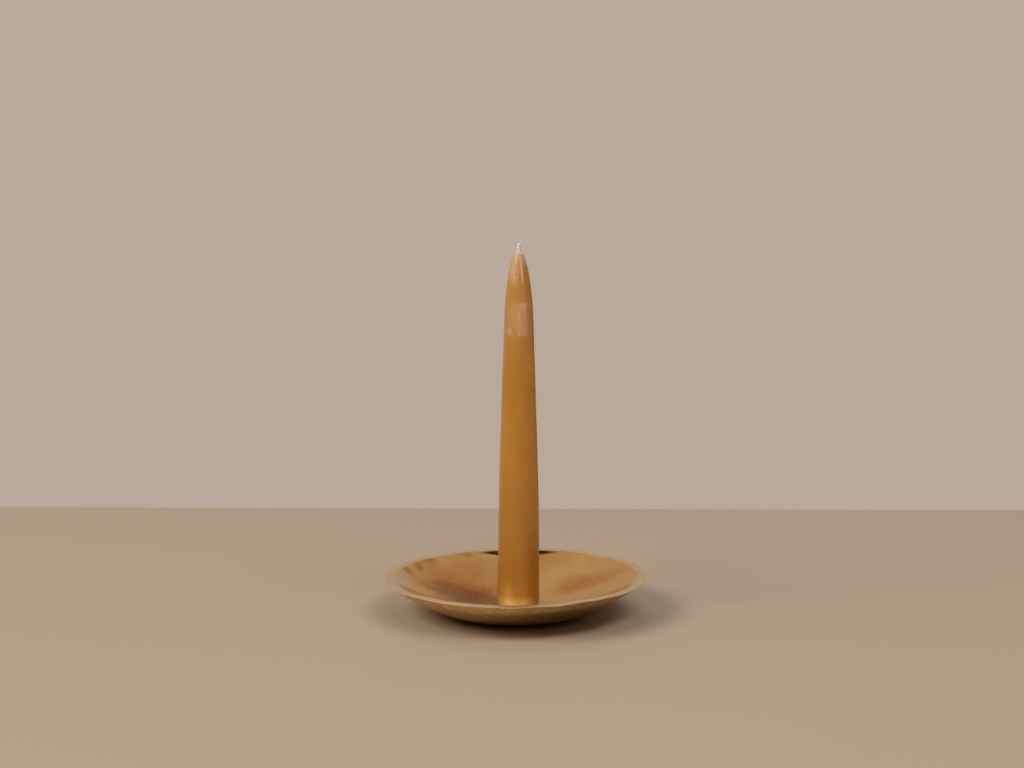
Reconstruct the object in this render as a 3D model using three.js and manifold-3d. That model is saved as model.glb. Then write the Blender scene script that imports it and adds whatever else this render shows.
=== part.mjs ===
// Pricket candle dish: a hand-forged brass dish with a brass spike (the pricket) screwed to its
// middle, and a tapered candle pushed down over the spike.
// Millimetres, +Z up. The origin is on the table under the dish's centre, and the front is -Y.

import * as THREE from 'three';
import { mergeVertices } from 'three/addons/utils/BufferGeometryUtils.js';
import Module from 'manifold-3d';

// Clearances: SEAT between pieces that are clamped or glued together, GAP where one piece is
// inside another.
const SEAT = 0.1;
const GAP = 0.3;

// Felt pad under the foot.
const PAD_R = 29;
const PAD_T = 1;

// Dish: flat foot, rising wall, and a rim that is planed flat into a level lip.
const RIM_R = 70;
const RIM_Z = 20;
const LIP_W = 4.8;
const RIM_EDGE = 0.25;
const FOOT_R = 31.5;
const FOOT_Z = PAD_T + SEAT;
const FOOT_T = 2.4;
const FLOOR_R = 12;
const FOOT_SLOPE = 10;
const FLOOR_SLOPE = 1;
const OUTER_RIM_SLOPE = 31;
const INNER_RIM_SLOPE = 33.4;
const INNER_RIM_REACH = 15;
const FLOOR_Z = FOOT_Z + FOOT_T;

// The spike, its screw and the candle share one upright axis, a little right of the dish's.
const AXIS_X = 1.2;

// Countersunk M3 screw, driven up through the foot from below.
const SCREW_R = 1.5;
const SCREW_HEAD_R = 3;
const SCREW_HEAD_H = 1.6;
const SCREW_LENGTH = 8;
const HEX_R = 1.15;
const HEX_DEPTH = 1.1;

// Pricket: a collar that the candle stands on, and a tapering spike.
const COLLAR_R = 7.5;
const COLLAR_T = 1.5;
const COLLAR_EDGE = 0.4;
const COLLAR_Z = FLOOR_Z + SEAT;
const SPIKE_R = 3;
const SPIKE_H = 32;
const SPIKE_FILLET = 0.8;
const SPIKE_TIP_R = 0.35;
const THREAD_DEPTH = SCREW_LENGTH - FOOT_T + 1;

// Candle: radius falls evenly with height, then rounds in over the shoulder to a blunt tip.
const CANDLE_Z = COLLAR_Z + COLLAR_T + GAP;
const CANDLE_TIP_Z = 190.7;
const CANDLE_R = 11.2;
const CANDLE_TAPER = 0.0214;
const CANDLE_EDGE = 0.7;
const TIP_ABOVE = 3.9;
const TIP_LENGTH = 11.2;
const TIP_FULLNESS = 0.86;

// Wick: a cotton core that runs up the candle and leans over at its free end.
const WICK_R = 0.85;
const WICK_TOP_Z = 197.5;
const WICK_LEAN = 2.6;

const ROUND = { dish: 80, candle: 48, pad: 64, pricket: 32, screw: 24, wick: 12 };

const COLOURS = {
  brass: { color: 0xb8935a, roughness: 0.32, metalness: 1 },
  spikeBrass: { color: 0xc4a063, roughness: 0.25, metalness: 1 },
  steel: { color: 0x9a9a98, roughness: 0.35, metalness: 1 },
  felt: { color: 0x3a2f28, roughness: 0.95, metalness: 0 },
  wax: { color: 0xb8762c, roughness: 0.45, metalness: 0 },
  cotton: { color: 0xe8dfd0, roughness: 0.9, metalness: 0 },
};

const wasm = await Module();
wasm.setup();

const point = (r, z) => new THREE.Vector2(r, z);
const degrees = (angle) => THREE.MathUtils.degToRad(angle);

// A closed body of revolution about Z.
function turned(profile, sides) {
  const geometry = new THREE.LatheGeometry(profile, sides);
  geometry.rotateX(Math.PI / 2);
  return geometry;
}

function toSolid(geometry) {
  const bare = geometry.clone();
  bare.deleteAttribute('normal');
  bare.deleteAttribute('uv');
  const merged = mergeVertices(bare, 1e-4);
  return new wasm.Manifold(new wasm.Mesh({
    numProp: 3,
    vertProperties: new Float32Array(merged.attributes.position.array),
    triVerts: new Uint32Array(merged.index.array),
  }));
}

// What is left of a body when a tool body is cut out of it.
function cut(body, tool) {
  const mesh = toSolid(body).subtract(toSolid(tool)).getMesh();
  const geometry = new THREE.BufferGeometry();
  geometry.setAttribute('position', new THREE.BufferAttribute(mesh.vertProperties, 3));
  geometry.setIndex(new THREE.BufferAttribute(mesh.triVerts, 1));
  geometry.computeVertexNormals();
  return geometry;
}

// One smooth stretch of wall between two points, leaving and arriving at the given slopes. A
// shorter endReach makes it turn up more sharply near its end.
function wall(start, startSlope, end, endSlope, steps, endReach = start.distanceTo(end) / 3) {
  const reach = start.distanceTo(end) / 3;
  const along = (slope) => point(Math.cos(degrees(slope)), Math.sin(degrees(slope)));
  const leave = start.clone().addScaledVector(along(startSlope), reach);
  const arrive = end.clone().addScaledVector(along(endSlope), -endReach);
  return new THREE.CubicBezierCurve(start, leave, arrive, end).getPoints(steps);
}

function feltPad() {
  return turned([point(0, 0), point(PAD_R, 0), point(PAD_R, PAD_T), point(0, PAD_T)], ROUND.pad);
}

function dish() {
  const outside = wall(point(FOOT_R, FOOT_Z), FOOT_SLOPE,
    point(RIM_R, RIM_Z - RIM_EDGE), OUTER_RIM_SLOPE, 12);
  const inside = wall(point(FLOOR_R, FLOOR_Z), FLOOR_SLOPE,
    point(RIM_R - LIP_W, RIM_Z), INNER_RIM_SLOPE, 12, INNER_RIM_REACH);
  const profile = [
    point(0, FOOT_Z),
    ...outside,
    point(RIM_R, RIM_Z),
    ...inside.reverse(),
    point(0, FLOOR_Z),
  ];
  return cut(turned(profile, ROUND.dish), screwHole());
}

// The clearance hole and countersink that the screw passes through, a body taller than the foot.
function screwHole() {
  const holeR = SCREW_R + GAP;
  const mouthR = SCREW_HEAD_R + GAP;
  const coneTop = FOOT_Z + SCREW_HEAD_H + GAP;
  return turned([
    point(0, FOOT_Z - 1),
    point(mouthR, FOOT_Z - 1),
    point(mouthR, FOOT_Z + GAP),
    point(holeR, coneTop),
    point(holeR, FLOOR_Z + 1),
    point(0, FLOOR_Z + 1),
  ], ROUND.screw).translate(AXIS_X, 0, 0);
}

function screw() {
  const bottom = FOOT_Z;
  const top = bottom + SCREW_LENGTH;
  const body = turned([
    point(0, bottom),
    point(SCREW_HEAD_R, bottom),
    point(SCREW_HEAD_R, bottom + GAP),
    point(SCREW_R, bottom + SCREW_HEAD_H),
    point(SCREW_R, top - 0.5),
    point(SCREW_R - 0.5, top),
    point(0, top),
  ], ROUND.screw);
  const socket = new THREE.CylinderGeometry(HEX_R, HEX_R, 2 * HEX_DEPTH, 6);
  socket.rotateX(Math.PI / 2).translate(0, 0, bottom);
  return cut(body, socket).translate(AXIS_X, 0, 0);
}

const spikeRadius = (h) => THREE.MathUtils.lerp(SPIKE_R, SPIKE_TIP_R, h / SPIKE_H);

function pricket() {
  const seat = COLLAR_Z + COLLAR_T;
  const tip = seat + SPIKE_H;
  const holeR = SCREW_R + GAP;
  const holeTop = COLLAR_Z + THREAD_DEPTH;
  return turned([
    point(holeR, COLLAR_Z),
    point(COLLAR_R, COLLAR_Z),
    point(COLLAR_R, seat - COLLAR_EDGE),
    point(COLLAR_R - COLLAR_EDGE, seat),
    point(SPIKE_R + SPIKE_FILLET, seat),
    point(spikeRadius(SPIKE_FILLET), seat + SPIKE_FILLET),
    point(SPIKE_TIP_R, tip - SPIKE_TIP_R),
    point(0, tip),
    point(0, holeTop),
    point(holeR, holeTop - holeR / 2),
    point(holeR, COLLAR_Z),
  ], ROUND.pricket).translate(AXIS_X, 0, 0);
}

function candleRadius(z) {
  const straight = CANDLE_R - CANDLE_TAPER * (z - CANDLE_Z);
  const fromApex = (CANDLE_TIP_Z + TIP_ABOVE - z) / TIP_LENGTH;
  return straight * (1 - Math.exp(-(fromApex ** TIP_FULLNESS)));
}

// The outline's heights crowd together towards the tip, where the curve is tightest.
function candleOutline(steps) {
  const outline = [];
  for (let i = 0; i <= steps; i += 1) {
    const t = 1 - (1 - i / steps) ** 2;
    const z = THREE.MathUtils.lerp(CANDLE_Z + CANDLE_EDGE, CANDLE_TIP_Z, t);
    outline.push(point(candleRadius(z), z));
  }
  return outline;
}

// The wax, with the wick's bore down its middle and the tapered hole the spike makes in its foot.
function candleWax() {
  const seat = COLLAR_Z + COLLAR_T;
  const boreR = WICK_R + GAP;
  const spikeTop = seat + SPIKE_H;
  return turned([
    point(SPIKE_R + SPIKE_FILLET + GAP, CANDLE_Z),
    point(CANDLE_R - CANDLE_EDGE, CANDLE_Z),
    ...candleOutline(22),
    point(boreR, CANDLE_TIP_Z + 0.3),
    point(boreR, spikeTop + 2),
    point(spikeRadius(SPIKE_H - 4) + GAP + 0.1, spikeTop + GAP),
    point(SPIKE_R + GAP + 0.1, CANDLE_Z + SPIKE_FILLET),
    point(SPIKE_R + SPIKE_FILLET + GAP, CANDLE_Z),
  ], ROUND.candle).translate(AXIS_X, 0, 0);
}

// A straight core up to the candle's tip, then a short free end that leans to the right.
function candleWick() {
  const foot = COLLAR_Z + COLLAR_T + SPIKE_H + 1.5;
  const free = WICK_TOP_Z - CANDLE_TIP_Z;
  const profile = [point(0, foot), point(WICK_R, foot)];
  const steps = 10;
  for (let i = 0; i <= steps; i += 1) {
    profile.push(point(WICK_R, CANDLE_TIP_Z + (free * i) / steps));
  }
  profile.push(point(0, WICK_TOP_Z));
  const geometry = turned(profile, ROUND.wick);
  const place = geometry.attributes.position;
  for (let i = 0; i < place.count; i += 1) {
    const above = Math.max(0, place.getZ(i) - CANDLE_TIP_Z - 1) / (free - 1);
    place.setX(i, place.getX(i) + WICK_LEAN * above ** 2);
  }
  return geometry.translate(AXIS_X, 0, 0);
}

function piece(name, geometry, colour) {
  const mesh = new THREE.Mesh(geometry, new THREE.MeshStandardMaterial(COLOURS[colour]));
  mesh.name = name;
  return mesh;
}

const holder = new THREE.Group();
holder.add(piece('dish', dish(), 'brass'));
holder.add(piece('pricket', pricket(), 'spikeBrass'));
holder.add(piece('pricket_screw', screw(), 'steel'));
holder.add(piece('felt_pad', feltPad(), 'felt'));

const candle = new THREE.Group();
candle.add(piece('candle_wax', candleWax(), 'wax'));
candle.add(piece('candle_wick', candleWick(), 'cotton'));

const object = new THREE.Group();
object.add(holder, candle);

export default object;
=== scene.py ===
"""Looks of the pricket candle dish: a hand-forged brass dish, its brass spike, and a beeswax taper.

Everything is in metres, +Z up, front towards -Y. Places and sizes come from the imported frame.
"""

import math
import random

import bpy
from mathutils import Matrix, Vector, noise


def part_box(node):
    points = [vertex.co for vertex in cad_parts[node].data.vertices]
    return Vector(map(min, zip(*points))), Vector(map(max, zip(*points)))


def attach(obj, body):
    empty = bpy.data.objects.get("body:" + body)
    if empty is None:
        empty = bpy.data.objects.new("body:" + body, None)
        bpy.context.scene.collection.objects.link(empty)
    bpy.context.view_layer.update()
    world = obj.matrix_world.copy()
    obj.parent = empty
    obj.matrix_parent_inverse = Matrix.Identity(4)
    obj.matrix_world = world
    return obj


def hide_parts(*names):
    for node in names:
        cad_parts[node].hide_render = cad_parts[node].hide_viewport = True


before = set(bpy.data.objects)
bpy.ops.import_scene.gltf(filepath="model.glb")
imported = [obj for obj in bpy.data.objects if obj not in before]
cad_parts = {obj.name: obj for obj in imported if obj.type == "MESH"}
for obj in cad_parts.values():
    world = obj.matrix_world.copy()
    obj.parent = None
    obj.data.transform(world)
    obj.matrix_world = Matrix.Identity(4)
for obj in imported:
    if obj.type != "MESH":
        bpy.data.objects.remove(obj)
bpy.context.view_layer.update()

MM = 0.001
TURN = 2 * math.pi

# ---------------------------------------------------------------- sizes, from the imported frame
DISH_LOW, DISH_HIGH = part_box("dish")
SPIKE_LOW, SPIKE_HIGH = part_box("pricket")
SCREW_LOW, SCREW_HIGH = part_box("pricket_screw")
PAD_LOW, PAD_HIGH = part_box("felt_pad")
WAX_LOW, WAX_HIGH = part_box("candle_wax")
WICK_LOW, WICK_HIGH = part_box("candle_wick")

AXIS_X = (SPIKE_LOW.x + SPIKE_HIGH.x) / 2
RIM_R = DISH_HIGH.x
RIM_Z = DISH_HIGH.z
FOOT_Z = DISH_LOW.z
FLOOR_Z = SPIKE_LOW.z - 0.1 * MM
WAX_R = (WAX_HIGH.x - WAX_LOW.x) / 2
TIP_Z = WAX_HIGH.z - 0.3 * MM
WICK_R = (WICK_HIGH.y - WICK_LOW.y) / 2

# Dish section, as in the CAD model. Slopes are in degrees.
LIP_W = 4.8 * MM
LIP_R = RIM_R - LIP_W
RIM_EDGE = 0.25 * MM
FOOT_R = 31.5 * MM
FLOOR_R = 12 * MM
FOOT_SLOPE = 10
FLOOR_SLOPE = 1
OUTER_RIM_SLOPE = 31
INNER_RIM_SLOPE = 33.4
INNER_RIM_REACH = 15 * MM
HOLE_R = 1.8 * MM
MOUTH_R = 3.3 * MM


# ---------------------------------------------------------------- shapes
def heading(slope):
    """The unit vector at a slope in degrees."""
    return Vector((math.cos(math.radians(slope)), math.sin(math.radians(slope))))


def wall(start, start_slope, end, end_slope, steps, end_reach=None):
    """Points of one smooth stretch of section, leaving and arriving at the given slopes."""
    start, end = Vector(start), Vector(end)
    reach = (end - start).length / 3
    leave = start + heading(start_slope) * reach
    arrive = end - heading(end_slope) * (end_reach or reach)
    points = []
    for i in range(steps + 1):
        t = i / steps
        u = 1 - t
        points.append(start * u**3 + leave * 3 * u * u * t + arrive * 3 * u * t * t + end * t**3)
    return [(p.x, p.y) for p in points]


def line(start, end, steps):
    """Evenly spaced points from start up to, and not including, end."""
    return [
        (start[0] + (end[0] - start[0]) * i / steps, start[1] + (end[1] - start[1]) * i / steps)
        for i in range(steps)
    ]


def corner(centre, radius, start, end, steps):
    """Points of an arc between two angles in degrees."""
    points = []
    for i in range(steps + 1):
        a = math.radians(start + (end - start) * i / steps)
        points.append((centre[0] + radius * math.cos(a), centre[1] + radius * math.sin(a)))
    return points


def add_piece(name, verts, faces):
    """A smoothly shaded object in the scene."""
    mesh = bpy.data.meshes.new(name)
    mesh.from_pydata(verts, [], faces)
    mesh.validate()
    mesh.shade_smooth()
    piece = bpy.data.objects.new(name, mesh)
    bpy.context.scene.collection.objects.link(piece)
    return piece


def grid_piece(name, rows, close_rows=True):
    """A mesh from closed rings of points. close_rows joins the last ring to the first."""
    count, sides = len(rows), len(rows[0])
    verts = [p for row in rows for p in row]
    faces = []
    for i in range(count if close_rows else count - 1):
        a, b = i * sides, ((i + 1) % count) * sides
        for j in range(sides):
            k = (j + 1) % sides
            faces.append((a + j, a + k, b + k, b + j))
    if not close_rows:
        faces.append(tuple(reversed(range(sides))))
        faces.append(tuple((count - 1) * sides + j for j in range(sides)))
    return add_piece(name, verts, faces)


def turned_rows(section, sides, shape=None):
    """Rings of a section turned about the spike's axis. shape may change each point's radius."""
    rows = []
    for radius, height in section:
        ring = []
        for j in range(sides):
            angle = TURN * j / sides
            r = shape(radius, height, angle) if shape else radius
            ring.append((AXIS_X + r * math.cos(angle), r * math.sin(angle), height))
        rows.append(ring)
    return rows


def ramp(value, low, high):
    """0 below low, 1 above high, and a smooth rise between."""
    t = min(max((value - low) / (high - low), 0), 1)
    return t * t * (3 - 2 * t)


def hump(value, centre, width):
    """1 at the centre, falling away smoothly on both sides."""
    return math.exp(-(((value - centre) / width) ** 2))


# ---------------------------------------------------------------- dish
DISH_SIDES = 360
RIM_TILT = math.tan(math.radians(0.57))
# How the hand-cut rim strays round the dish: (size in mm, number of waves, phase), less a trim in mm.
RIM_TRIM = 0.22
RIM_OUT_WAVES = ((0.10, 3, 0.6), (0.07, 7, 2.1), (0.05, 13, 0))
RIM_UP_WAVES = ((0.10, 5, 1.0), (0.09, 13, 0.4), (0.05, 21, 0))
KINK_AT = math.radians(-74)
FRONT = -math.pi / 2
BACK = math.pi / 2
DENT_DEPTH = 0.02 * MM
SMALL_DENT = 9 * MM
LARGE_DENT = 17 * MM
# Where the inside reads the dents' noise, so that it isn't dented like the outside.
INSIDE_LAYER = 0.05


def dish_section():
    """The closed section: screw hole, foot, outside, rim, lip, inside, floor. (radius, height)."""
    hole_top = (HOLE_R, FLOOR_Z)
    hole_low = (HOLE_R, FOOT_Z + 1.9 * MM)
    section = line(hole_low, (MOUTH_R, FOOT_Z + 0.3 * MM), 3)
    section += [(MOUTH_R, FOOT_Z + 0.1 * MM)]
    section += line((MOUTH_R + 0.1 * MM, FOOT_Z), (FOOT_R, FOOT_Z), 14)
    section += wall((FOOT_R, FOOT_Z), FOOT_SLOPE, (RIM_R, RIM_Z - RIM_EDGE), OUTER_RIM_SLOPE, 44)
    edge = 0.07 * MM
    section += corner((RIM_R - edge, RIM_Z - edge), edge, 0, 90, 3)
    section += line((RIM_R - 2 * edge, RIM_Z), (LIP_R + edge, RIM_Z), 7)
    slope = math.radians(INNER_RIM_SLOPE)
    section += [(LIP_R + 0.25 * edge, RIM_Z - 0.05 * edge)]
    section += [(LIP_R - edge * math.cos(slope), RIM_Z - edge * math.sin(slope))]
    floor_end, lip_end = (FLOOR_R, FLOOR_Z), (LIP_R, RIM_Z)
    inside = wall(floor_end, FLOOR_SLOPE, lip_end, INNER_RIM_SLOPE, 60, INNER_RIM_REACH)
    section += list(reversed(inside))[1:]
    section += line((FLOOR_R - 1 * MM, FLOOR_Z), hole_top, 8)
    section += line(hole_top, hole_low, 2)
    return section


def waves(angle, terms):
    """The sum of the waves at an angle round the dish."""
    return sum(size * math.sin(count * angle + phase) for size, count, phase in terms)


def rim_wave(angle):
    """How far the rim strays, outwards and upwards: waves, a kink, a low front and a high back."""
    out = waves(angle, RIM_OUT_WAVES) - RIM_TRIM
    up = waves(angle, RIM_UP_WAVES)
    up -= 0.30 * hump(angle, KINK_AT, 0.10) - 0.30 * hump(angle, KINK_AT + 0.23, 0.08)
    up -= 0.20 * hump(angle, FRONT, 0.35)
    up += 0.45 * hump(angle, BACK, 1.0)
    return out * MM, up * MM


def hammer_dents(place):
    """Shallow dents of two sizes, about -1 to 1."""
    return noise.noise(place / SMALL_DENT) + 0.7 * noise.noise(place / LARGE_DENT + Vector((4, 7, 1)))


def make_dish():
    """The forged dish: its section turned, strayed at the rim and dented by the hammer."""
    section = dish_section()
    rows = []
    for index, (radius, height) in enumerate(section):
        # The screw hole is centred on the spike, and everything wider on the dish itself.
        shift = AXIS_X * (1 - ramp(radius, MOUTH_R + 1 * MM, 20 * MM))
        work = ramp(radius, MOUTH_R + 4 * MM, 24 * MM)
        outer = ramp(radius, FOOT_R, RIM_R)
        calm = ramp(radius, RIM_R - 15 * MM, LIP_R - 2 * MM)
        layer = INSIDE_LAYER if index > len(section) / 2 else 0
        ring = []
        for j in range(DISH_SIDES):
            angle = TURN * j / DISH_SIDES
            out, up = rim_wave(angle if angle < math.pi else angle - TURN)
            c, s = math.cos(angle), math.sin(angle)
            dents = hammer_dents(Vector((radius * c, radius * s, layer)))
            z = height + dents * DENT_DEPTH * work * (1 - 0.9 * calm)
            z += up * outer + RIM_TILT * radius * c * outer
            r = radius + out * outer
            ring.append((shift + r * c, r * s, z))
        rows.append(ring)
    return grid_piece("brass_dish", rows)


# ---------------------------------------------------------------- spike, screw and pad
PAD_SIDES = 160
FLUFF = 0.12 * MM


def make_spike():
    """The turned collar and spike, with the tapped hole for its screw."""
    collar_r = (SPIKE_HIGH.x - SPIKE_LOW.x) / 2
    base, top = SPIKE_LOW.z, SPIKE_HIGH.z
    seat = base + 1.5 * MM
    hole_top = base + 6.6 * MM
    root_r, point_r, fillet = 3 * MM, 0.35 * MM, 0.8 * MM
    edge = 0.3 * MM
    near_axis = 0.02 * MM
    section = [(HOLE_R, base), (HOLE_R + 0.1 * MM, base)]
    section += line((HOLE_R + 0.2 * MM, base), (collar_r - edge, base), 4)
    section += corner((collar_r - edge, base + edge), edge, -90, 0, 4)
    section += corner((collar_r - edge, seat - edge), edge, 0, 90, 4)
    section += line((collar_r - 2 * edge, seat), (root_r + fillet, seat), 6)
    section += corner((root_r + fillet, seat + fillet), fillet, 270, 180, 6)
    section += line((root_r - 0.1 * MM, seat + 1.2 * fillet), (point_r, top - 0.5 * MM), 40)
    section += corner((0, top - point_r - 0.1 * MM), point_r, 10, 80, 4)
    section += [(near_axis, top), (near_axis, hole_top)]
    section += [(HOLE_R * 0.6, hole_top - 0.5 * MM), (HOLE_R, hole_top - 1 * MM)]
    section += line((HOLE_R, hole_top - 1.1 * MM), (HOLE_R, base), 4)
    return grid_piece("brass_spike", turned_rows(section, 96))


def make_screw():
    """Countersunk screw with a rolled thread and a hexagonal socket in its head."""
    head_r, shank_r, pitch, depth = 3 * MM, 1.5 * MM, 0.5 * MM, 0.22 * MM
    low, top = SCREW_LOW.z, SCREW_HIGH.z
    neck = low + 1.6 * MM
    socket_r, socket_top = 1.15 * MM, low + 1.1 * MM
    sector = math.pi / 3
    near_axis = 0.02 * MM

    def shape(radius, height, angle):
        if radius < 1.3 * MM and height <= socket_top:
            return radius * math.cos(sector / 2) / math.cos(angle % sector - sector / 2)
        if abs(radius - shank_r) < 0.01 * MM and neck + pitch < height < top - 0.6 * MM:
            phase = ((height - neck) / pitch - angle / TURN) % 1
            return radius - depth * (1 - abs(2 * phase - 1))
        return radius

    section = [(near_axis, socket_top + 0.3 * MM), (1.1 * MM, socket_top)]
    section += [(socket_r, socket_top - 0.1 * MM), (socket_r, low + 0.1 * MM), (1.25 * MM, low)]
    section += line((1.5 * MM, low), (head_r - 0.1 * MM, low), 3)
    section += [(head_r - 0.1 * MM, low), (head_r, low + 0.1 * MM), (head_r, low + 0.3 * MM)]
    section += line((head_r - 0.05 * MM, low + 0.35 * MM), (shank_r, neck), 4)
    section += line((shank_r, neck), (shank_r, top - 0.4 * MM), 96)
    section += [(shank_r - 0.1 * MM, top - 0.3 * MM), (shank_r - 0.4 * MM, top), (near_axis, top)]
    return grid_piece("spike_screw", turned_rows(section, 36, shape))


def make_pad():
    """A felt disc with a soft edge and slightly uneven faces."""
    radius = PAD_HIGH.x
    low, high = PAD_LOW.z, PAD_HIGH.z
    edge = (high - low) * 0.35
    near_axis = 0.05 * MM
    section = [(near_axis, low)] + line((1 * MM, low), (radius - edge, low), 24)
    section += corner((radius - edge, low + edge), edge, -90, 0, 4)
    section += corner((radius - edge, high - edge), edge, 0, 90, 4)
    section += line((radius - 2 * edge, high), (near_axis, high), 24)

    rows = []
    for r0, z0 in section:
        ring = []
        for j in range(PAD_SIDES):
            angle = TURN * j / PAD_SIDES
            c, s = math.cos(angle), math.sin(angle)
            pull = noise.noise(Vector((c, s, z0 * 900)) * 6) * FLUFF * ramp(r0, radius * 0.9, radius)
            lift = abs(noise.noise(Vector((r0 * c, r0 * s, 0.3)) / (2.5 * MM))) * FLUFF
            z = z0 + lift if z0 < (low + high) / 2 else z0 - lift
            r = r0 - abs(pull)
            ring.append((r * c, r * s, z))
        rows.append(ring)
    return grid_piece("felt_disc", rows, close_rows=False)


# ---------------------------------------------------------------- candle
TAPER = 0.0214
WAX_TRIM = 0.04 * MM
TIP_ABOVE = 3.9 * MM
TIP_LENGTH = 11.2 * MM
TIP_FULLNESS = 0.86
SLEEVE_H = 3.0 * MM
BARE_Z = TIP_Z + SLEEVE_H
# Where dipping left the taper a little fuller or leaner: (height, reach, swell).
SWELLS = (
    (163 * MM, 7 * MM, 0.17 * MM),
    (141 * MM, 10 * MM, -0.17 * MM),
    (109 * MM, 15 * MM, -0.09 * MM),
    (76 * MM, 62 * MM, 0.50 * MM),
    (54 * MM, 20 * MM, 0.13 * MM),
)


def sway(z):
    """How far the candle stands to the right of its spike: more above the foot, less at the tip."""
    return 0.34 * MM * ramp(z, 0, 35 * MM) - 0.10 * MM * ramp(z, 165 * MM, TIP_Z)


def wax_radius(z):
    """A straight taper that rounds over to the tip, with the swells of dipping."""
    straight = WAX_R - TAPER * (z - WAX_LOW.z)
    above = max(TIP_Z + TIP_ABOVE - z, 0) / TIP_LENGTH
    full = straight * (1 - math.exp(-(above**TIP_FULLNESS)))
    return full + sum(swell * hump(z, at, reach) for at, reach, swell in SWELLS) - WAX_TRIM


def wax_section():
    """The closed section: foot, body, tip, the sleeve on the wick, the bore and the spike's hole."""
    seat, spike_top = WAX_LOW.z, SPIKE_HIGH.z
    edge = 0.7 * MM
    bore = WICK_R * 0.92
    body_low, body_top, body_rows = seat + edge, TIP_Z - 0.9 * MM, 150
    body = []
    for i in range(body_rows):
        # The rows lie closer together towards the tip.
        t = 1 - (1 - i / (body_rows - 1)) ** 1.5
        z = body_low + (body_top - body_low) * t
        body.append((wax_radius(z), z))
    section = line((4.1 * MM, seat), (WAX_R - edge, seat), 8)
    section += corner((WAX_R - edge, body_low), edge, -90, -10, 5)
    section += body

    # The blunt tip rounds over and runs up into a thin sleeve on the wick.
    (r1, z1), (r2, z2) = body[-2:]
    lean = math.degrees(math.atan2(z2 - z1, r2 - r1))
    root = (bore + 0.45 * MM, TIP_Z + 0.5 * MM)
    crown, crown_slope = (root[0] + 0.3 * MM, TIP_Z + 0.1 * MM), 165
    section += wall((r2, z2), lean, crown, crown_slope, 10)[1:]
    section += wall(crown, crown_slope, root, 95, 5)[1:]
    for i in range(1, 9):
        t = i / 8
        thin = bore + 0.15 * MM + 0.30 * MM * (1 - t) ** 1.6
        section.append((thin, root[1] + (BARE_Z - root[1]) * t))

    section += line((bore, BARE_Z - 0.3 * MM), (bore, spike_top + 1.5 * MM), 20)
    section += line((0.9 * MM, spike_top + 0.4 * MM), (3.5 * MM, seat + 0.9 * MM), 12)
    section += [(3.6 * MM, seat + 0.6 * MM), (3.8 * MM, seat + 0.25 * MM)]
    return section


def wax_unevenness(radius, height, angle):
    """The taper's radius with slow swells, runs and fine ripples. The holes inside stay true."""
    if radius < 4.2 * MM and height < TIP_Z - 3 * MM:
        return radius
    c, s = math.cos(angle), math.sin(angle)
    slow = noise.noise(Vector((c, s, height / (38 * MM))) * 1.1)
    runs = noise.noise(Vector((c * 2.6, s * 2.6, height / (60 * MM))))
    fine = noise.noise(Vector((c * 5, s * 5, height / (7 * MM))))
    grow = ramp(height, WAX_LOW.z + 0.2 * MM, WAX_LOW.z + 6 * MM)
    grow *= 1 - 0.75 * ramp(height, TIP_Z - 2 * MM, TIP_Z)
    return radius + (0.09 * slow + 0.05 * runs + 0.02 * fine) * MM * grow


def make_wax():
    """The dipped taper, with the spike's hole in its foot and wax drawn up round the wick."""
    rows = turned_rows(wax_section(), 128, wax_unevenness)
    rows = [[(x + sway(z), y, z) for x, y, z in row] for row in rows]
    return grid_piece("wax_taper", rows)


# ---------------------------------------------------------------- wick
CORE_STEPS = 12
STEM_STEPS = 14
STEM_TURNS = 1.3
YARNS = 3
YARN_R = 0.50 * MM
FIBRES = 200
FIBRE_R = 0.07 * MM
FIBRE_SEED = 7
# In mm, as wick_point takes them: how far a yarn lies from the stem's middle, and how they part.
YARN_OFFSET = 0.42
YARN_SPLAY = 1.1


def tube(points, radii, sides):
    """Rings along a path, each square to it, for one strand."""
    rows = []
    up = Vector((0.02, 1, 0.05)).normalized()
    last = len(points) - 1
    for i, point in enumerate(points):
        ahead = (points[min(i + 1, last)] - points[max(i - 1, 0)]).normalized()
        side = ahead.cross(up).normalized()
        front = side.cross(ahead)
        ring = []
        for j in range(sides):
            a = TURN * j / sides
            ring.append(point + (side * math.cos(a) + front * math.sin(a)) * radii[i])
        rows.append(ring)
    return rows


def spline(points, steps):
    """A smooth path through a few points."""
    path = []
    last = len(points) - 1
    for i in range(last):
        before, here = points[max(i - 1, 0)], points[i]
        there, after = points[i + 1], points[min(i + 2, last)]
        for j in range(steps):
            t = j / steps
            first = (there - before) * t
            second = (2 * before - 5 * here + 4 * there - after) * t * t
            third = (3 * here - before - 3 * there + after) * t**3
            path.append(0.5 * (2 * here + first + second + third))
    path.append(points[-1])
    return path


def strands_piece(name, strands):
    """One mesh from strands, each a list of rings that is capped at both ends."""
    verts, faces = [], []
    for rows in strands:
        start, sides = len(verts), len(rows[0])
        verts += [tuple(p) for row in rows for p in row]
        for i in range(len(rows) - 1):
            a, b = start + i * sides, start + (i + 1) * sides
            for j in range(sides):
                k = (j + 1) % sides
                faces.append((a + j, b + j, b + k, a + k))
        faces.append(tuple(start + j for j in range(sides)))
        faces.append(tuple(start + (len(rows) - 1) * sides + j for j in reversed(range(sides))))
    return add_piece(name, verts, faces)


def wick_point(right, back, height):
    """A point by its distance in mm to the right of and behind the candle's own middle."""
    return Vector((AXIS_X + sway(height) + right * MM, back * MM, height))


def wick_core():
    """The cotton inside the wax."""
    low, top = WICK_LOW.z, BARE_Z - 1 * MM
    path = [wick_point(0, 0, low + (top - low) * i / CORE_STEPS) for i in range(CORE_STEPS + 1)]
    return tube(path, [WICK_R * 0.82] * len(path), 16)


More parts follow.
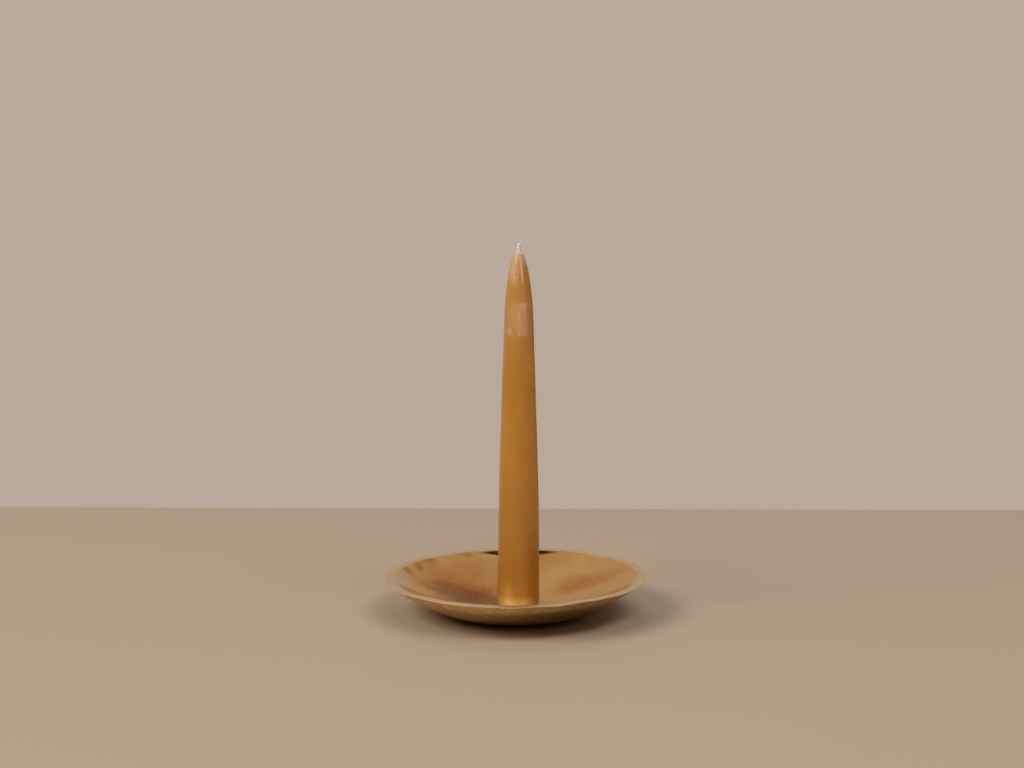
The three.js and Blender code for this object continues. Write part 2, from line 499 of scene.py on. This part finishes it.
def wick_yarn(k):
    """Yarn k of the three that are twisted together in the stem and splay to the right at the top."""
    top = WICK_HIGH.z
    stem_low, stem_top = BARE_Z - 1.2 * MM, top - 1.7 * MM
    splay = YARN_SPLAY * k
    stem = []
    for i in range(STEM_STEPS + 1):
        t = i / STEM_STEPS
        turn = TURN * (t * STEM_TURNS + k / YARNS)
        lean = -0.1 + 0.25 * ramp(t, 0.1, 0.8)
        height = stem_low + (stem_top - stem_low) * t
        right = lean + YARN_OFFSET * math.cos(turn)
        stem.append(wick_point(right, YARN_OFFSET * math.sin(turn), height))
    stem.append(wick_point(splay * 0.45, 0.2 - 0.2 * k, top - 0.95 * MM))
    stem.append(wick_point(splay, 0.3 - 0.3 * k, top - (0.6 + 0.1 * k) * MM))
    path = spline(stem, 4)
    radii = [YARN_R * (1 - 0.2 * ramp(i / len(path), 0.75, 1)) for i in range(len(path))]
    return tube(path, radii, 10)


def wick_fibre(rng):
    """One fibre of the frayed end. The further it reaches to the right, the more it may droop."""
    top = WICK_HIGH.z
    foot = wick_point(rng.uniform(-0.5, 0.5), rng.uniform(-0.5, 0.5), top - rng.uniform(1.3, 3.2) * MM)
    reach = rng.uniform(-0.25, 3.1)
    droop = rng.uniform(0, 0.9) * max(reach - 1.2, 0) * MM
    back = rng.uniform(-0.8, 0.8)
    head = wick_point(-0.45 + reach, back, top - rng.uniform(0.1, 0.55) * MM - droop)
    middle = (foot + head) / 2 + Vector((-0.12 * MM * reach, 0, 0.25 * MM + droop * 0.6))
    middle.z = min(middle.z, top - 0.1 * MM)
    path = spline([foot, middle, head], 5)
    for point in path:
        point.z = min(point.z, top - 0.05 * MM)
    last = len(path) - 1
    return tube(path, [FIBRE_R * (1 - 0.4 * i / last) for i in range(last + 1)], 5)


def make_wick():
    """A cotton core in the wax, three twisted yarns above it, and a frayed end fanned to the right."""
    rng = random.Random(FIBRE_SEED)
    strands = [wick_core()]
    strands += [wick_yarn(k) for k in range(YARNS)]
    strands += [wick_fibre(rng) for _ in range(FIBRES)]
    return strands_piece("cotton_wick", strands)


# ---------------------------------------------------------------- nodes
SPOT_SOFTNESS = 0.75


class Nodes:
    """A small helper that adds and joins the nodes of a tree."""

    def __init__(self, tree):
        self.tree = tree

    def add(self, kind):
        return self.tree.nodes.new(kind)

    def feed(self, socket, value):
        """Links another node's output to a socket, or sets the socket to a number or a colour."""
        if isinstance(value, bpy.types.NodeSocket):
            self.tree.links.new(value, socket)
        elif socket.type == "RGBA":
            socket.default_value = (*value, 1)
        else:
            socket.default_value = value

    def math(self, operation, a, b=0.0, c=0.0):
        node = self.add("ShaderNodeMath")
        node.operation = operation
        for socket, value in zip(node.inputs, (a, b, c)):
            self.feed(socket, value)
        return node.outputs[0]

    def times(self, a, b):
        return self.math("MULTIPLY", a, b)

    def plus(self, a, b):
        return self.math("ADD", a, b)

    def scaled(self, a, scale, offset):
        return self.math("MULTIPLY_ADD", a, scale, offset)

    def vector(self, operation, a, b=(0, 0, 0)):
        node = self.add("ShaderNodeVectorMath")
        node.operation = operation
        self.feed(node.inputs[0], a)
        self.feed(node.inputs[1], b)
        return node.outputs["Value"] if operation == "LENGTH" else node.outputs["Vector"]

    def split(self, vector):
        node = self.add("ShaderNodeSeparateXYZ")
        self.feed(node.inputs[0], vector)
        return node.outputs

    def join(self, x, y, z):
        node = self.add("ShaderNodeCombineXYZ")
        for socket, value in zip(node.inputs, (x, y, z)):
            self.feed(socket, value)
        return node.outputs[0]

    def spread(self, value, low, high, to_low=0.0, to_high=1.0):
        """Maps low..high smoothly to to_low..to_high."""
        node = self.add("ShaderNodeMapRange")
        node.interpolation_type = "SMOOTHSTEP"
        for socket, v in zip(node.inputs, (value, low, high, to_low, to_high)):
            self.feed(socket, v)
        return node.outputs[0]

    def between(self, value, low, low_full, high_full, high):
        """1 from low_full to high_full, falling smoothly to 0 at low and at high."""
        return self.times(self.spread(value, low, low_full), self.spread(value, high, high_full))

    def mix(self, amount, a, b):
        """Colour a where amount is 0, and colour b where it is 1."""
        node = self.add("ShaderNodeMix")
        node.data_type = "RGBA"
        self.feed(node.inputs["Factor"], amount)
        colours = [socket for socket in node.inputs if socket.type == "RGBA"]
        self.feed(colours[0], a)
        self.feed(colours[1], b)
        return [socket for socket in node.outputs if socket.type == "RGBA"][0]


class Shader(Nodes):
    """A new material. place and facing are a point and its normal in the piece's own axes."""

    def __init__(self, name):
        self.material = bpy.data.materials.new(name)
        self.material.use_nodes = True
        super().__init__(self.material.node_tree)
        self.bsdf = self.tree.nodes["Principled BSDF"]
        coordinates = self.add("ShaderNodeTexCoord").outputs
        self.place, self.facing = coordinates["Object"], coordinates["Normal"]

    def noise(self, vector, scale, detail=3.0, rough=0.5):
        node = self.add("ShaderNodeTexNoise")
        self.feed(node.inputs["Vector"], vector)
        node.inputs["Scale"].default_value = scale
        node.inputs["Detail"].default_value = detail
        node.inputs["Roughness"].default_value = rough
        return node.outputs["Fac"]

    def grain(self, scales, detail, rough):
        """Noise with a scale of its own along each axis, so that it can be drawn out."""
        return self.noise(self.vector("MULTIPLY", self.place, scales), 1, detail, rough)

    def bump(self, height, strength, distance, after=None):
        """A bumped normal, on top of the bumps in after."""
        node = self.add("ShaderNodeBump")
        node.inputs["Strength"].default_value = strength
        node.inputs["Distance"].default_value = distance
        self.feed(node.inputs["Height"], height)
        if after is not None:
            self.feed(node.inputs["Normal"], after)
        return node.outputs[0]

    def spot(self, centre, size, wander):
        """1 in the middle of a blot and 0 outside it. wander is a noise that frays its edge."""
        away = self.vector("SUBTRACT", self.place, centre)
        away = self.vector("DIVIDE", away, size)
        distance = self.plus(self.vector("LENGTH", away), wander)
        return self.spread(distance, 1 + SPOT_SOFTNESS / 2, 1 - SPOT_SOFTNESS)

    def surface(self, colour, roughness, normal=None, metallic=0.0):
        self.feed(self.bsdf.inputs["Base Color"], colour)
        self.feed(self.bsdf.inputs["Roughness"], roughness)
        self.bsdf.inputs["Metallic"].default_value = metallic
        if normal is not None:
            self.feed(self.bsdf.inputs["Normal"], normal)
        return self.material


# ---------------------------------------------------------------- brass
PALE_BRASS = (0.84, 0.56, 0.25)
WARM_BRASS = (0.86, 0.52, 0.19)
LIP_BRASS = (0.88, 0.79, 0.68)
BEND_BRASS = (0.84, 0.74, 0.60)
EDGE_BRASS = (0.94, 0.80, 0.62)
SMEARED_BRASS = (0.62, 0.36, 0.12)
SPECKED_BRASS = (0.50, 0.30, 0.11)
OUTER_BRASS = (1.0, 0.80, 0.42)
OUTER_GRIME = (0.78, 0.55, 0.25)
OUTER_RED = (0.45, 0.20, 0.12)
OUTER_SMEAR = (0.45, 0.28, 0.11)
# Painted shade: the right of the outside, and the underside round the foot.
SHADED_RIGHT_BRASS = (0.42, 0.27, 0.10)
SHADED_UNDERSIDE = (0.10, 0.06, 0.03)
BRASS_TINT = (0.96, 0.88, 0.78, 1)
GOLDEN = (0.97, 0.62, 0.26)
ORANGE = (0.70, 0.30, 0.07)
PURPLE = (0.25, 0.055, 0.012)
BROWN = (0.46, 0.20, 0.05)
BEIGE = (0.86, 0.74, 0.56)
# Tall enough for a stain to reach through the whole height of the dish.
STAIN_HEIGHT = 0.1
# Heat and wax stains inside the dish: (colour, centre in mm, reach in mm, strength).
STAINS = (
    (GOLDEN, (26, 44), (30, 22), 0.8),
    (ORANGE, (-31, 22), (36, 28), 0.72),
    (ORANGE, (-22, 46), (20, 10), 0.45),
    (ORANGE, (32, 27), (14, 10), 0.75),
    (ORANGE, (44, 22), (20, 7), 0.5),
    (ORANGE, (18, 56), (20, 10), 0.3),
    (ORANGE, (-13, -42), (18, 14), 0.7),
    (PURPLE, (-24, 11), (27, 18), 1.0),
    (PURPLE, (-14, -32), (12, 9), 0.7),
    (BEIGE, (-63, 0), (10, 33), 0.5),
    (BROWN, (-58, 22.5), (3, 4.5), 0.7),
    (BROWN, (-52.5, 32), (3, 4), 0.7),
    (BROWN, (-48, 44), (5, 4), 0.6),
    (BROWN, (-30, 58), (7, 2.5), 0.5),
    (BROWN, (28, 60.5), (6, 2), 0.4),
)


def rim_lines(s, radius, turn, across, along, detail, rough):
    """Noise drawn out round the rim. turn is the direction away from the dish's middle.

    across says how close the lines lie, and along how soon they end.
    """
    x, y, _ = turn
    drawn = s.join(s.times(radius, across), s.times(x, along), s.times(y, along))
    return s.noise(drawn, 1, detail, rough)


def inner_brass(s, fine, smears, wander):
    """The colour inside the dish: pale brass, its stains, and smears from wiping."""
    patchy = s.spread(s.noise(s.place, 38), 0.5, 0.78, 0, 0.45)
    colour = s.mix(patchy, PALE_BRASS, WARM_BRASS)
    for stain, (x, y), (wide, deep), strength in STAINS:
        spot = s.spot((x * MM, y * MM, 0), (wide * MM, deep * MM, STAIN_HEIGHT), wander)
        wiped = s.spread(smears, 0.2, 0.55, 0.62, 1.0)
        colour = s.mix(s.times(s.times(spot, strength), wiped), colour, stain)
    colour = s.mix(s.spread(smears, 0.5, 0.8, 0, 0.22), colour, SMEARED_BRASS)
    return s.mix(s.spread(fine, 0.35, 0.75, 0, 0.14), colour, SPECKED_BRASS)


def outer_brass(s, x, radius, smears, wander):
    """The colour outside: mottled, a little red at the front left, with painted shade on the right and
    painted shade below, round the foot.
    """
    grime = s.spread(s.noise(s.place, 260, 5, 0.75), 0.38, 0.62)
    colour = s.mix(grime, OUTER_BRASS, OUTER_GRIME)
    red = s.spot((-45 * MM, -45 * MM, 12 * MM), (22 * MM, 18 * MM, STAIN_HEIGHT), wander)
    colour = s.mix(s.times(red, 0.25), colour, OUTER_RED)
    colour = s.mix(s.spread(smears, 0.45, 0.75, 0, 0.3), colour, OUTER_SMEAR)
    # Painted shade: the outside darkens towards the right, where the table beside it lies in shadow.
    colour = s.mix(s.spread(x, -26 * MM, 40 * MM, 0, 0.75), colour, SHADED_RIGHT_BRASS)
    # Painted shade: the underside round the foot is darkened, where the dish meets the contact shadow on
    # the felt and floor.
    return s.mix(s.spread(radius, 40 * MM, 35 * MM), colour, SHADED_UNDERSIDE)


def dish_brass():
    """Satin brass with lines that follow the rim, heat stains inside, and a duller outside."""
    s = Shader("dish_brass")
    x, y, _ = s.split(s.place)
    radius = s.vector("LENGTH", s.join(x, y, 0))
    turn = s.split(s.vector("NORMALIZE", s.join(x, y, 0)))
    up = s.split(s.facing)[2]
    bend_end = LIP_R - 1.2 * MM
    outside = s.spread(up, 0.1, -0.1)
    lip = s.times(s.spread(up, 0.92, 0.98), s.spread(radius, bend_end, LIP_R + 0.3 * MM))
    bend = s.times(s.spread(radius, 59 * MM, bend_end), s.spread(y, 10 * MM, -10 * MM, 0, 0.8))
    edge = s.times(s.spread(radius, RIM_R - 0.9 * MM, RIM_R - 0.4 * MM), s.spread(up, 0.3, 0.7))

    wander = s.scaled(s.noise(s.place, 55, 4, 0.6), 1.5, -0.75)
    fine = s.noise(s.place, 260, 3, 0.6)
    smears = rim_lines(s, radius, turn, 620, 9, 4, 0.6)
    lines = rim_lines(s, radius, turn, 1500, 4, 2, 0.6)
    broad = rim_lines(s, radius, turn, 330, 2, 2, 0.5)
    scuffs = s.grain((2600, 220, 900), 2, 0.7)

    colour = inner_brass(s, fine, smears, wander)
    colour = s.mix(s.times(lip, s.spread(smears, 0.3, 0.7, 0.85, 0.5)), colour, LIP_BRASS)
    colour = s.mix(s.times(bend, s.math("SUBTRACT", 1.0, lip)), colour, BEND_BRASS)
    colour = s.mix(outside, colour, outer_brass(s, x, radius, smears, wander))
    colour = s.mix(edge, colour, EDGE_BRASS)

    # The lip's edges are worn dull, and the wall is burnished smooth at the back.
    polish = s.scaled(fine, 0.10, s.scaled(broad, 0.08, 0.08))
    worn = s.plus(s.times(edge, 0.2), s.times(bend, 0.25))
    burnished = s.times(s.spread(radius, 58.5 * MM, 62.5 * MM), s.spread(y, 30 * MM, 45 * MM))
    polish = s.times(polish, s.scaled(burnished, -0.72, 1.0))
    rough = s.scaled(outside, 0.16, s.plus(worn, polish))

    normal = s.bump(broad, 0.03, 0.4 * MM)
    normal = s.bump(lines, 0.06, 0.1 * MM, normal)
    normal = s.bump(scuffs, 0.04, 0.1 * MM, normal)
    s.bsdf.inputs["Specular Tint"].default_value = BRASS_TINT
    return s.surface(colour, rough, normal, 1.0)


def spike_brass():
    """Turned brass: fine rings from the lathe, and patches of tarnish."""
    s = Shader("spike_brass")
    x, y, z = s.split(s.vector("SUBTRACT", s.place, (AXIS_X, 0, 0)))
    radius = s.vector("LENGTH", s.join(x, y, 0))
    closeness = 5200
    rings = s.noise(s.join(s.times(z, closeness), s.times(radius, closeness), 0), 1, 2, 0.6)
    tarnish = s.noise(s.place, 420, 4, 0.6)
    colour = s.mix(s.spread(tarnish, 0.45, 0.8, 0, 0.6), (0.84, 0.62, 0.32), (0.55, 0.32, 0.12))
    rough = s.scaled(tarnish, 0.2, 0.22)
    return s.surface(colour, rough, s.bump(rings, 0.2, 0.06 * MM), 1.0)


# ---------------------------------------------------------------- steel, felt, wax and cotton
HONEY = (0.57, 0.250, 0.035)
LIGHT_HONEY = (0.68, 0.310, 0.055)
BLOOM = (0.84, 0.58, 0.38)
# A painted highlight on the left of the tip, partly pale bloom.
TIP_GLINT_AND_BLOOM = (0.88, 0.67, 0.46)
UPPER_WAX = (0.80, 0.58, 0.40)
TIP_WAX = (0.78, 0.57, 0.37)
# Painted shade low on the right of the wax, and a painted glow of light thrown up from the dish at its
# foot.
SHADED_WAX = (0.36, 0.11, 0.004)
FOOT_GLOW_WAX = (0.90, 0.62, 0.25)
SLEEVE_WAX = (0.84, 0.74, 0.64)
CLEAN_COTTON = (0.98, 0.95, 0.97)
SHADED_COTTON = (0.95, 0.91, 0.94)
WAXED_COTTON = (0.93, 0.86, 0.78)


def screw_steel():
    """Plain steel with a fine grain."""
    s = Shader("screw_steel")
    grain = s.noise(s.place, 1800, 4, 0.6)
    colour = s.mix(grain, (0.62, 0.62, 0.6), (0.42, 0.42, 0.41))
    rough = s.scaled(grain, 0.25, 0.2)
    return s.surface(colour, rough, s.bump(grain, 0.15, 0.05 * MM), 1.0)


def felt():
    """Pressed felt: short tangled fibres, darker in the hollows."""
    s = Shader("felt")
    fibres = s.grain((1700, 900, 1700), 5, 0.7)
    tangle = s.noise(s.place, 2600, 4, 0.7)
    colour = s.mix(s.spread(fibres, 0.3, 0.7), (0.028, 0.021, 0.016), (0.075, 0.058, 0.045))
    s.bsdf.inputs["Sheen Weight"].default_value = 0.5
    s.bsdf.inputs["Sheen Roughness"].default_value = 0.6
    return s.surface(colour, 0.95, s.bump(s.plus(fibres, tangle), 0.6, 0.4 * MM))


def wax_bloom(s, x, y, z, patches, mottle):
    """How much pale bloom there is: a ragged patch on the front, some way below the tip."""
    ragged = s.scaled(patches, 4 * MM, -2 * MM)
    level = s.plus(z, ragged)
    side = s.plus(x, ragged)
    band = s.between(level, 147.5 * MM, 149 * MM, 164.5 * MM, 166 * MM)
    patch = s.between(side, -3.5 * MM, -2 * MM, 5.2 * MM, 6 * MM)
    column = s.between(side, 0.5 * MM, 2 * MM, 5.2 * MM, 6 * MM)
    patch = s.times(s.scaled(patch, 0.45, s.times(column, 0.8)), s.math("LESS_THAN", y, 0))
    bloom = s.times(band, s.scaled(patch, 0.7, 0.15))
    low_left = s.spot((AXIS_X - 4 * MM, -10 * MM, 150.5 * MM), (2.4 * MM, 10 * MM, 2.8 * MM), 0)
    bloom = s.math("MAXIMUM", bloom, s.times(low_left, 0.8))
    return s.times(bloom, s.scaled(mottle, 0.75, 0.25))


def wax_tip_glint_and_bloom(s, mottle):
    """How much painted highlight, partly pale bloom, lies on the left of the tip."""
    glint_and_bloom = s.spot((AXIS_X - 2.5 * MM, -9 * MM, 182.5 * MM), (3.2 * MM, 10 * MM, 8 * MM), 0)
    return s.times(glint_and_bloom, s.scaled(mottle, 0.6, 0.4))


def wax_by_height(s, colour, x, z, patches):
    """Paler towards the tip and on the sleeve, with painted shade low on the right, and a painted glow at
    the foot where the dish throws light onto the wax.
    """
    upper = s.times(s.spread(z, 120 * MM, 160 * MM), s.spread(patches, 0.3, 0.7, 0.5, 1.0))
    colour = s.mix(s.times(upper, 0.14), colour, UPPER_WAX)
    tip = s.spread(z, TIP_Z - 8 * MM, TIP_Z - 1 * MM, 0, 0.8)
    colour = s.mix(s.times(tip, s.spread(patches, 0.2, 0.6, 0.6, 1.0)), colour, TIP_WAX)
    # Painted shade: low on the right, the wax is darkened and reddened, where less light reaches it.
    deep = s.spread(x, AXIS_X + 2 * MM, AXIS_X + 9 * MM, 0.26, 0.62)
    colour = s.mix(s.times(s.spread(z, 70 * MM, 20 * MM), deep), colour, SHADED_WAX)
    # Painted light: a glow low on the front of the wax, strongest in the middle, where the brass dish
    # throws light back onto it.
    off_middle = s.math("ABSOLUTE", s.math("SUBTRACT", x, AXIS_X - 1 * MM))
    middle = s.spread(off_middle, 11 * MM, 4 * MM, 0.10, 1.0)
    foot = s.times(s.spread(z, WAX_LOW.z + 7 * MM, WAX_LOW.z + 1 * MM, 0, 0.72), middle)
    colour = s.mix(foot, colour, FOOT_GLOW_WAX)
    return s.mix(s.spread(z, TIP_Z - 0.6 * MM, TIP_Z + 0.5 * MM), colour, SLEEVE_WAX)


def beeswax():
    """Honey-brown wax, slightly clear and glossier at the tip, with bloom, a painted highlight that is
    partly pale bloom on the left of the tip, and a painted glow at the foot.
    """
    s = Shader("beeswax")
    x, y, z = s.split(s.place)
    cloudy = s.grain((60, 60, 22), 4, 0.55)
    speck = s.noise(s.place, 520, 4, 0.65)
    patches = s.grain((760, 760, 420), 5, 0.75)
    wipe = s.grain((620, 620, 70), 3, 0.6)
    streaks = s.grain((300, 300, 24), 3, 0.5)
    mottle = s.spread(s.scaled(wipe, 0.7, s.times(patches, 0.5)), 0.5, 0.68)
    bloom = wax_bloom(s, x, y, z, patches, mottle)
    glint_and_bloom = wax_tip_glint_and_bloom(s, mottle)

    colour = s.mix(s.spread(cloudy, 0.35, 0.7), HONEY, LIGHT_HONEY)
    colour = s.mix(s.times(bloom, 0.6), colour, BLOOM)
    # Painted highlight, partly pale bloom, on the left of the tip.
    colour = s.mix(s.times(glint_and_bloom, 0.8), colour, TIP_GLINT_AND_BLOOM)
    colour = wax_by_height(s, colour, x, z, patches)

    gloss = s.spread(z, 160 * MM, 176 * MM, 0.16, 0.07)
    chalky = s.plus(s.times(bloom, 0.2), s.times(glint_and_bloom, 0.3))
    chalky = s.plus(chalky, s.spread(z, TIP_Z - 3 * MM, TIP_Z - 1 * MM, 0, 0.2))
    rough = s.plus(s.scaled(speck, 0.10, gloss), chalky)

    normal = s.bump(streaks, 0.05, 0.6 * MM)
    normal = s.bump(speck, 0.04, 0.4 * MM, normal)
    normal = s.bump(patches, 0.03, 0.4 * MM, normal)
    s.bsdf.inputs["Subsurface Weight"].default_value = 0.15
    s.bsdf.inputs["Subsurface Radius"].default_value = (1.0, 0.45, 0.12)
    s.bsdf.inputs["Subsurface Scale"].default_value = 0.8 * MM
    s.bsdf.inputs["IOR"].default_value = 1.36
    return s.surface(colour, rough, normal)


def cotton():
    """White cotton yarn, stained with wax low down."""
    s = Shader("cotton")
    z = s.split(s.place)[2]
    fibre = s.grain((9000, 9000, 2500), 3, 0.6)
    clean = s.mix(fibre, CLEAN_COTTON, SHADED_COTTON)
    waxed = s.spread(z, BARE_Z + 0.8 * MM, BARE_Z - 0.5 * MM)
    colour = s.mix(waxed, clean, WAXED_COTTON)
    s.bsdf.inputs["Sheen Weight"].default_value = 0.15
    return s.surface(colour, 0.85, s.bump(fibre, 0.3, 0.02 * MM))


def floor_paint():
    """Plain pale paint with a barely visible change of shade."""
    s = Shader("floor_paint")
    colour = s.mix(s.noise(s.place, 3, 2), (0.560, 0.441, 0.336), (0.585, 0.461, 0.351))
    return s.surface(colour, 0.75)


# ---------------------------------------------------------------- studio
BACKDROP = (0.485, 0.397, 0.323)
OVERHEAD = (0.36, 0.29, 0.23)
CEILING = (0.13, 0.09, 0.06)
GAP = (0.02, 0.013, 0.008)
LOW_RIGHT = (0.05, 0.045, 0.04)
ROOM_LIGHT = (0.010, 0.009, 0.008)
ROOM_REFLECTED = (0.22, 0.185, 0.15)
BLACK = (0, 0, 0)
LIGHT_DISTANCE = 4.0
LIGHTS_AIM = Vector((0, 0, 0.03))
WARM_WHITE = (1.0, 0.97, 0.93)
CAMERA_PLACE = (-0.002, -1.0367, 0.2535)
CAMERA_TILT = 7.21
LENS = 70.3


def make_floor():
    """A plain pale floor that ends behind the object, like the far edge of a table."""
    front, back, side, skew = -2.5, 0.295, 3.0, 0.05
    mesh = bpy.data.meshes.new("floor")
    corners = [(-side, front, 0), (side, front, 0), (side, back - skew, 0), (-side, back + skew, 0)]
    mesh.from_pydata(corners, [], [(0, 1, 2, 3)])
    floor = bpy.data.objects.new("floor", mesh)
    bpy.context.scene.collection.objects.link(floor)
    mesh.materials.append(floor_paint())


def make_world():
    """A plain warm backdrop behind the object, and a darker studio round it.

    High up ahead is a narrow gap between the backdrop and the ceiling, which the brass mirrors as dark
    crescents. The room behind the camera is brighter in mirrored rays, so that the brass stays warm
    from every side, and the whole studio is dimmed as a light on the floor, which deepens the shadows.
    """
    world = bpy.data.worlds.new("studio")
    bpy.context.scene.world = world
    world.use_nodes = True
    world.node_tree.nodes.clear()
    w = Nodes(world.node_tree)
    right, ahead, up = w.split(w.add("ShaderNodeTexCoord").outputs["Generated"])
    ray = w.add("ShaderNodeLightPath").outputs
    steep = w.math("DIVIDE", up, w.math("MAXIMUM", ahead, 0.02))

    ceiling = w.mix(w.spread(steep, 5.2, 8.0), CEILING, OVERHEAD)
    gap = w.mix(w.spread(steep, 3.7, 4.3), GAP, ceiling)
    aside = w.math("ABSOLUTE", w.plus(right, 0.016))
    slot = w.times(w.spread(steep, 3.10, 3.28), w.spread(aside, 0.24, 0.17))
    panel = w.mix(w.spread(steep, 3.5, 8.0), BACKDROP, OVERHEAD)
    panel = w.mix(slot, panel, gap)
    low_right = w.times(w.spread(right, 0.22, 0.45), w.spread(up, 0.30, 0.10))
    panel = w.mix(low_right, panel, LOW_RIGHT)

    room = w.mix(ray["Is Glossy Ray"], ROOM_LIGHT, ROOM_REFLECTED)
    studio = w.mix(w.spread(ahead, 0.1, -0.35), panel, room)
    studio = w.mix(w.times(ray["Is Diffuse Ray"], 0.6), studio, BLACK)
    background = w.add("ShaderNodeBackground")
    w.feed(background.inputs["Color"], w.mix(ray["Is Camera Ray"], studio, BACKDROP))
    w.feed(w.add("ShaderNodeOutputWorld").inputs[0], background.outputs[0])


def soft_light(name, azimuth, elevation, size, power, colour=WARM_WHITE):
    """A soft box. Azimuth is in degrees from the front, to the right, seen from the object."""
    a, e = math.radians(azimuth), math.radians(elevation)
    away = Vector((math.sin(a) * math.cos(e), -math.cos(a) * math.cos(e), math.sin(e)))
    data = bpy.data.lights.new(name, "AREA")
    data.shape = "RECTANGLE"
    data.size, data.size_y = size
    data.energy = power
    data.color = colour
    light = bpy.data.objects.new(name, data)
    light.location = LIGHTS_AIM + away * LIGHT_DISTANCE
    light.rotation_mode = "QUATERNION"
    light.rotation_quaternion = away.to_track_quat("Z", "Y")
    bpy.context.scene.collection.objects.link(light)
    return light


def make_lights():
    """A key light on the left, a fill and a mirrored strip on the right, and a weak light behind."""
    soft_light("key", -55, 40, (2.7, 1.4), 81)
    fill = soft_light("fill", 34, 51, (3.0, 1.0), 57, (1.0, 0.96, 0.91))
    fill.visible_glossy = False
    strip = soft_light("strip", 38, 22, (1.25, 1.3), 36, (1.0, 0.97, 0.94))
    strip.visible_diffuse = False
    top = soft_light("top", 180, 62, (3.0, 2.0), 18)
    top.visible_glossy = False


def make_camera():
    """A little higher than the candle, about a metre in front of it, and tilted down a little."""
    data = bpy.data.cameras.new("camera")
    data.sensor_width = 36
    data.lens = LENS
    camera = bpy.data.objects.new("camera", data)
    camera.location = CAMERA_PLACE
    camera.rotation_euler = (math.radians(90 - CAMERA_TILT), 0, 0)
    bpy.context.scene.collection.objects.link(camera)
    bpy.context.scene.camera = camera


# ---------------------------------------------------------------- build
def dress(piece, material, body, node):
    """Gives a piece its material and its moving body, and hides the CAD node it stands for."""
    piece.data.materials.append(material)
    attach(piece, body)
    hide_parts(node)


make_camera()
make_world()
make_floor()
make_lights()

dress(make_dish(), dish_brass(), "holder", "dish")
dress(make_spike(), spike_brass(), "holder", "pricket")
dress(make_screw(), screw_steel(), "holder", "pricket_screw")
dress(make_pad(), felt(), "holder", "felt_pad")
dress(make_wax(), beeswax(), "candle", "candle_wax")
dress(make_wick(), cotton(), "candle", "candle_wick")

bpy.context.scene.view_settings.view_transform = "Standard"
